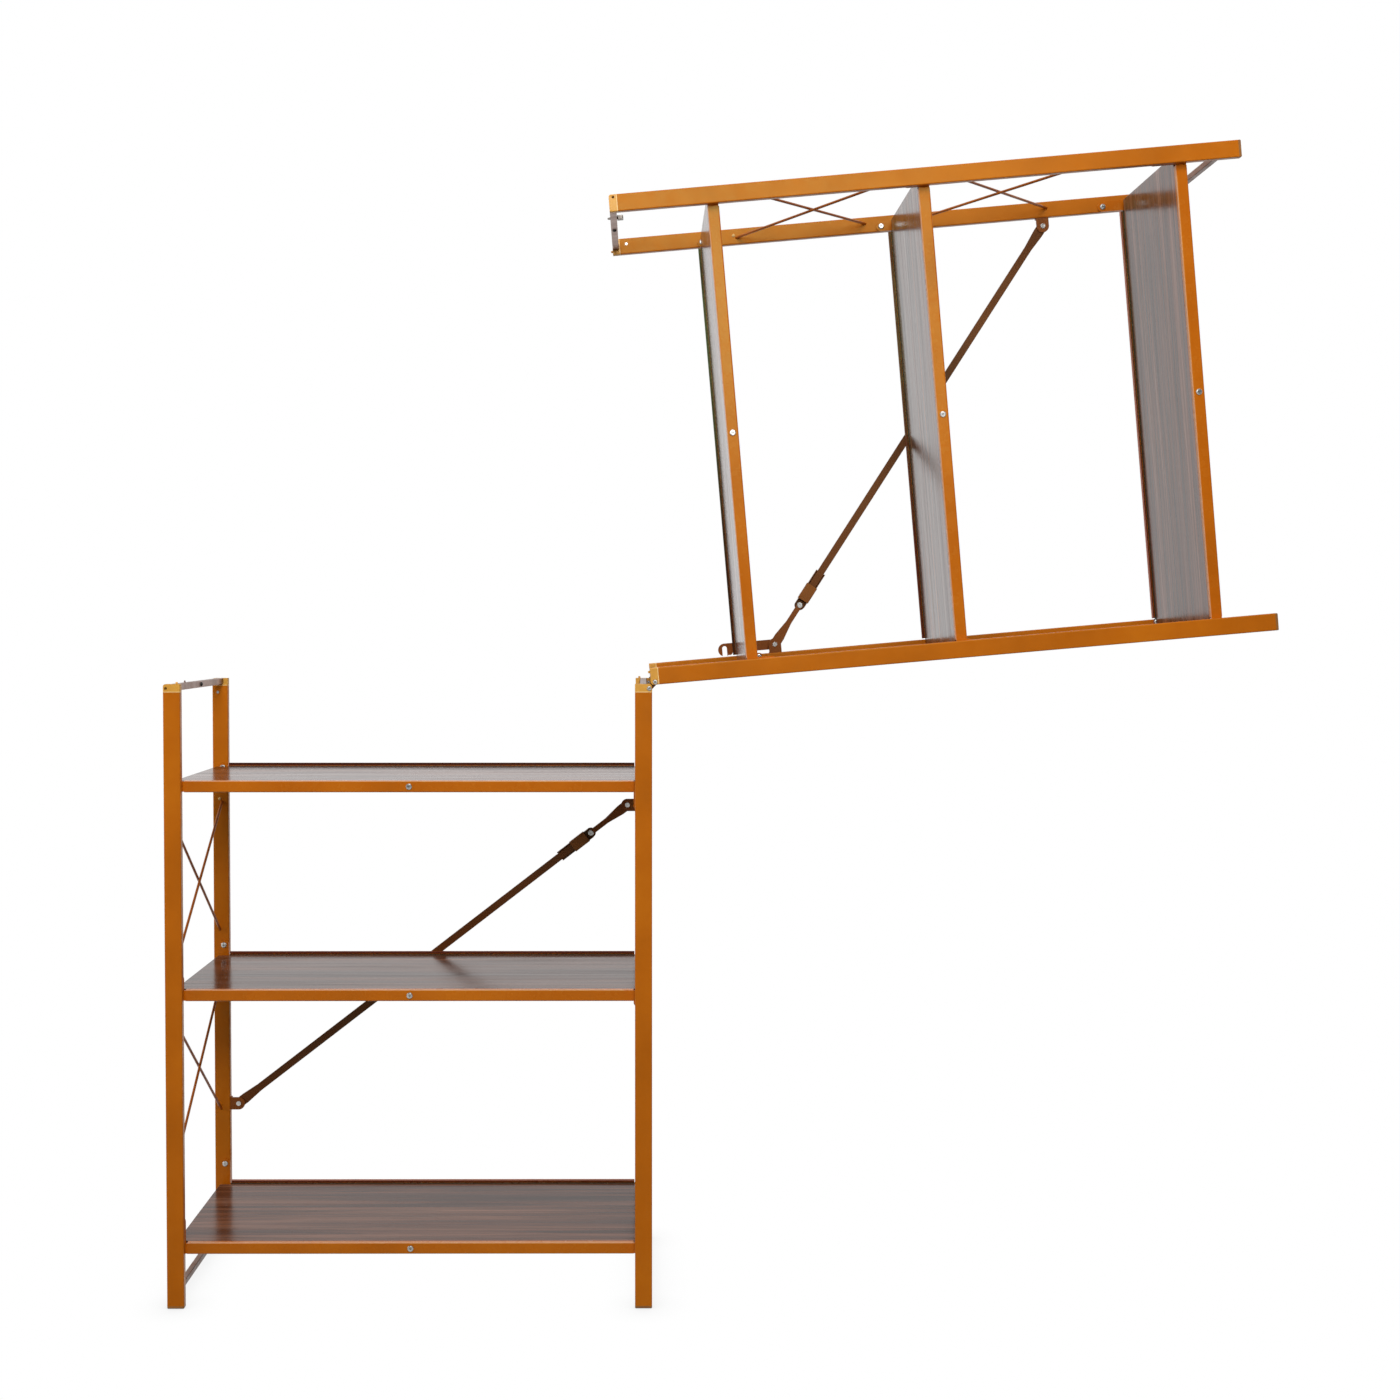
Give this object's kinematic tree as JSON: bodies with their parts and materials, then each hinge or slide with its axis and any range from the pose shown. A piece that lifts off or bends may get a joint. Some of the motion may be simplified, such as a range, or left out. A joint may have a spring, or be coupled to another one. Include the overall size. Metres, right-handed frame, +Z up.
{
  "type": "folding bookcase",
  "caption": "Folding bookcase of two hinged tubular steel sections with wood-grain shelves, cross-rod sides and a diagonal locking brace, upper section swung open.",
  "frame": {"origin": "centre of the lower section's footprint on the floor", "axes": "+Z up, front toward -Y, hinge side toward +X; metres"},
  "size_m": [1.62, 0.3237, 1.7004],
  "materials": {
    "frame_paint": "satin amber enamel",
    "rim_paint": "satin amber enamel",
    "rod_paint": "satin copper-brown enamel",
    "brace_paint": "dark bronze enamel",
    "slide_paint": "bronze enamel",
    "cap_plastic": "moulded tan",
    "walnut": "satin dark wood grain",
    "zinc": "bright zinc"
  },
  "bodies": {
    "lower_left_frame": {"lower_left_front_post": "frame_paint", "lower_left_rear_post": "frame_paint", "lower_left_end_plugs": "cap_plastic", "lower_left_cross_bars": "frame_paint", "lower_left_cross_rods": "rod_paint", "lower_left_pivot_screws": "zinc", "lower_left_brace_bracket": "frame_paint"},
    "lower_right_frame": {"lower_right_front_post": "frame_paint", "lower_right_rear_post": "frame_paint", "lower_right_end_plugs": "cap_plastic", "lower_right_cross_bars": "frame_paint", "lower_right_cross_rods": "rod_paint", "lower_right_pivot_screws": "zinc", "lower_right_brace_bracket": "frame_paint", "lower_hinge_pins": "zinc"},
    "lower_top_shelf": {"lower_top_shelf_rim": "rim_paint", "lower_top_shelf_board": "walnut", "lower_top_shelf_screw": "zinc"},
    "lower_mid_shelf": {"lower_mid_shelf_rim": "rim_paint", "lower_mid_shelf_board": "walnut", "lower_mid_shelf_screw": "zinc"},
    "lower_bottom_shelf": {"lower_bottom_shelf_rim": "rim_paint", "lower_bottom_shelf_board": "walnut", "lower_bottom_shelf_screw": "zinc"},
    "lower_long_strut": {"lower_long_strut": "brace_paint"},
    "lower_short_strut": {"lower_short_strut": "brace_paint", "lower_lock_sleeve": "brace_paint"},
    "lower_lock_slide": {"lower_lock_slide": "slide_paint"},
    "upper_left_frame": {"upper_left_front_post": "frame_paint", "upper_left_rear_post": "frame_paint", "upper_left_end_plugs": "cap_plastic", "upper_left_cross_bars": "frame_paint", "upper_left_cross_rods": "rod_paint", "upper_left_pivot_screws": "zinc", "upper_left_brace_bracket": "frame_paint"},
    "upper_right_frame": {"upper_right_front_post": "frame_paint", "upper_right_rear_post": "frame_paint", "upper_right_end_plugs": "cap_plastic", "upper_right_cross_bars": "frame_paint", "upper_right_cross_rods": "rod_paint", "upper_right_pivot_screws": "zinc", "upper_right_brace_bracket": "frame_paint", "upper_hinge_pins": "zinc"},
    "upper_top_shelf": {"upper_top_shelf_rim": "rim_paint", "upper_top_shelf_board": "walnut", "upper_top_shelf_screw": "zinc"},
    "upper_mid_shelf": {"upper_mid_shelf_rim": "rim_paint", "upper_mid_shelf_board": "walnut", "upper_mid_shelf_screw": "zinc"},
    "upper_bottom_shelf": {"upper_bottom_shelf_rim": "rim_paint", "upper_bottom_shelf_board": "walnut", "upper_bottom_shelf_screw": "zinc"},
    "upper_long_strut": {"upper_long_strut": "brace_paint"},
    "upper_short_strut": {"upper_short_strut": "brace_paint", "upper_lock_sleeve": "brace_paint"},
    "upper_lock_slide": {"upper_lock_slide": "slide_paint"},
    "hinge_link": {"hinge_links": "frame_paint"},
    "storage_hook": {"storage_hook": "brace_paint"},
    "latch_plunger": {"latch_plunger": "zinc"}
  },
  "joints": [
    {"name": "lower_fold", "type": "hinge", "parent": "lower_right_frame", "child": "lower_mid_shelf", "pos_m": [0.334, 0, 0.448], "axis": [0, -1, 0], "range_deg": [0, 84]},
    {"name": "lower_top_shelf_pivot", "type": "hinge", "parent": "lower_right_frame", "child": "lower_top_shelf", "pos_m": [0.334, 0, 0.7365], "axis": [0, -1, 0], "range_deg": [0, 84]},
    {"name": "lower_bottom_shelf_pivot", "type": "hinge", "parent": "lower_right_frame", "child": "lower_bottom_shelf", "pos_m": [0.334, 0, 0.0905], "axis": [0, -1, 0], "range_deg": [0, 84]},
    {"name": "lower_left_pivot", "type": "hinge", "parent": "lower_mid_shelf", "child": "lower_left_frame", "pos_m": [-0.338, 0, 0.482], "axis": [0, -1, 0], "range_deg": [-84, 0]},
    {"name": "lower_long_strut_pivot", "type": "hinge", "parent": "lower_left_frame", "child": "lower_long_strut", "pos_m": [-0.3165, 0, 0.222], "axis": [0, -1, 0], "range_deg": [0, 53]},
    {"name": "lower_short_strut_pivot", "type": "hinge", "parent": "lower_right_frame", "child": "lower_short_strut", "pos_m": [0.3165, 0, 0.709], "axis": [0, -1, 0], "range_deg": [0, 53]},
    {"name": "lower_lock_slide", "type": "slide", "parent": "lower_short_strut", "child": "lower_lock_slide", "axis": [-0.7926, 0, -0.6098], "range_m": [0, 0.024]},
    {"name": "upper_fold", "type": "hinge", "parent": "upper_right_frame", "child": "upper_mid_shelf", "pos_m": [0.81703, 0, 0.97513], "axis": [0, 1, 0], "range_deg": [0, 84]},
    {"name": "upper_top_shelf_pivot", "type": "hinge", "parent": "upper_right_frame", "child": "upper_top_shelf", "pos_m": [0.52963, 0, 0.94999], "axis": [0, 1, 0], "range_deg": [0, 84]},
    {"name": "upper_bottom_shelf_pivot", "type": "hinge", "parent": "upper_right_frame", "child": "upper_bottom_shelf", "pos_m": [1.17317, 0, 1.00629], "axis": [0, 1, 0], "range_deg": [0, 84]},
    {"name": "upper_left_pivot", "type": "hinge", "parent": "upper_mid_shelf", "child": "upper_left_frame", "pos_m": [0.72459, 0, 1.64161], "axis": [0, 1, 0], "range_deg": [-84, 0]},
    {"name": "upper_long_strut_pivot", "type": "hinge", "parent": "upper_left_frame", "child": "upper_long_strut", "pos_m": [0.98547, 0, 1.64286], "axis": [0, 1, 0], "range_deg": [0, 53]},
    {"name": "upper_short_strut_pivot", "type": "hinge", "parent": "upper_right_frame", "child": "upper_short_strut", "pos_m": [0.5555, 0, 0.96982], "axis": [0, 1, 0], "range_deg": [0, 53]},
    {"name": "upper_lock_slide", "type": "slide", "parent": "upper_short_strut", "child": "upper_lock_slide", "axis": [0.5384, 0, 0.8427], "range_m": [0, 0.024]},
    {"name": "link_pivot", "type": "hinge", "parent": "hinge_link", "child": "lower_right_frame", "pos_m": [0.3508, 0, 0.9088], "axis": [0, -1, 0], "range_deg": [-42.5, 47.5]},
    {"name": "section_swing", "type": "hinge", "parent": "hinge_link", "child": "upper_right_frame", "pos_m": [0.35945, 0, 0.91824], "axis": [0, 1, 0], "range_deg": [-42.5, 47.5]},
    {"name": "hook_turn", "type": "hinge", "parent": "upper_right_frame", "child": "storage_hook", "pos_m": [0.5555, 0, 0.96982], "axis": [0, -1, 0], "range_deg": [0, 90]},
    {"name": "latch_slide", "type": "slide", "parent": "upper_left_frame", "child": "latch_plunger", "axis": [0.9962, 0, 0.0872], "range_m": [0, 0.006], "stiffness_N_per_m": 300, "springref_m": -0.004}
  ],
  "couplings": [
    {"joint": "lower_top_shelf_pivot", "follows": "lower_fold", "ratio": 1},
    {"joint": "lower_bottom_shelf_pivot", "follows": "lower_fold", "ratio": 1},
    {"joint": "lower_left_pivot", "follows": "lower_fold", "ratio": -1},
    {"joint": "lower_long_strut_pivot", "follows": "lower_fold", "ratio": 0.63},
    {"joint": "lower_short_strut_pivot", "follows": "lower_fold", "ratio": 0.63},
    {"joint": "upper_top_shelf_pivot", "follows": "upper_fold", "ratio": 1},
    {"joint": "upper_bottom_shelf_pivot", "follows": "upper_fold", "ratio": 1},
    {"joint": "upper_left_pivot", "follows": "upper_fold", "ratio": -1},
    {"joint": "upper_long_strut_pivot", "follows": "upper_fold", "ratio": 0.63},
    {"joint": "upper_short_strut_pivot", "follows": "upper_fold", "ratio": 0.63}
  ]
}
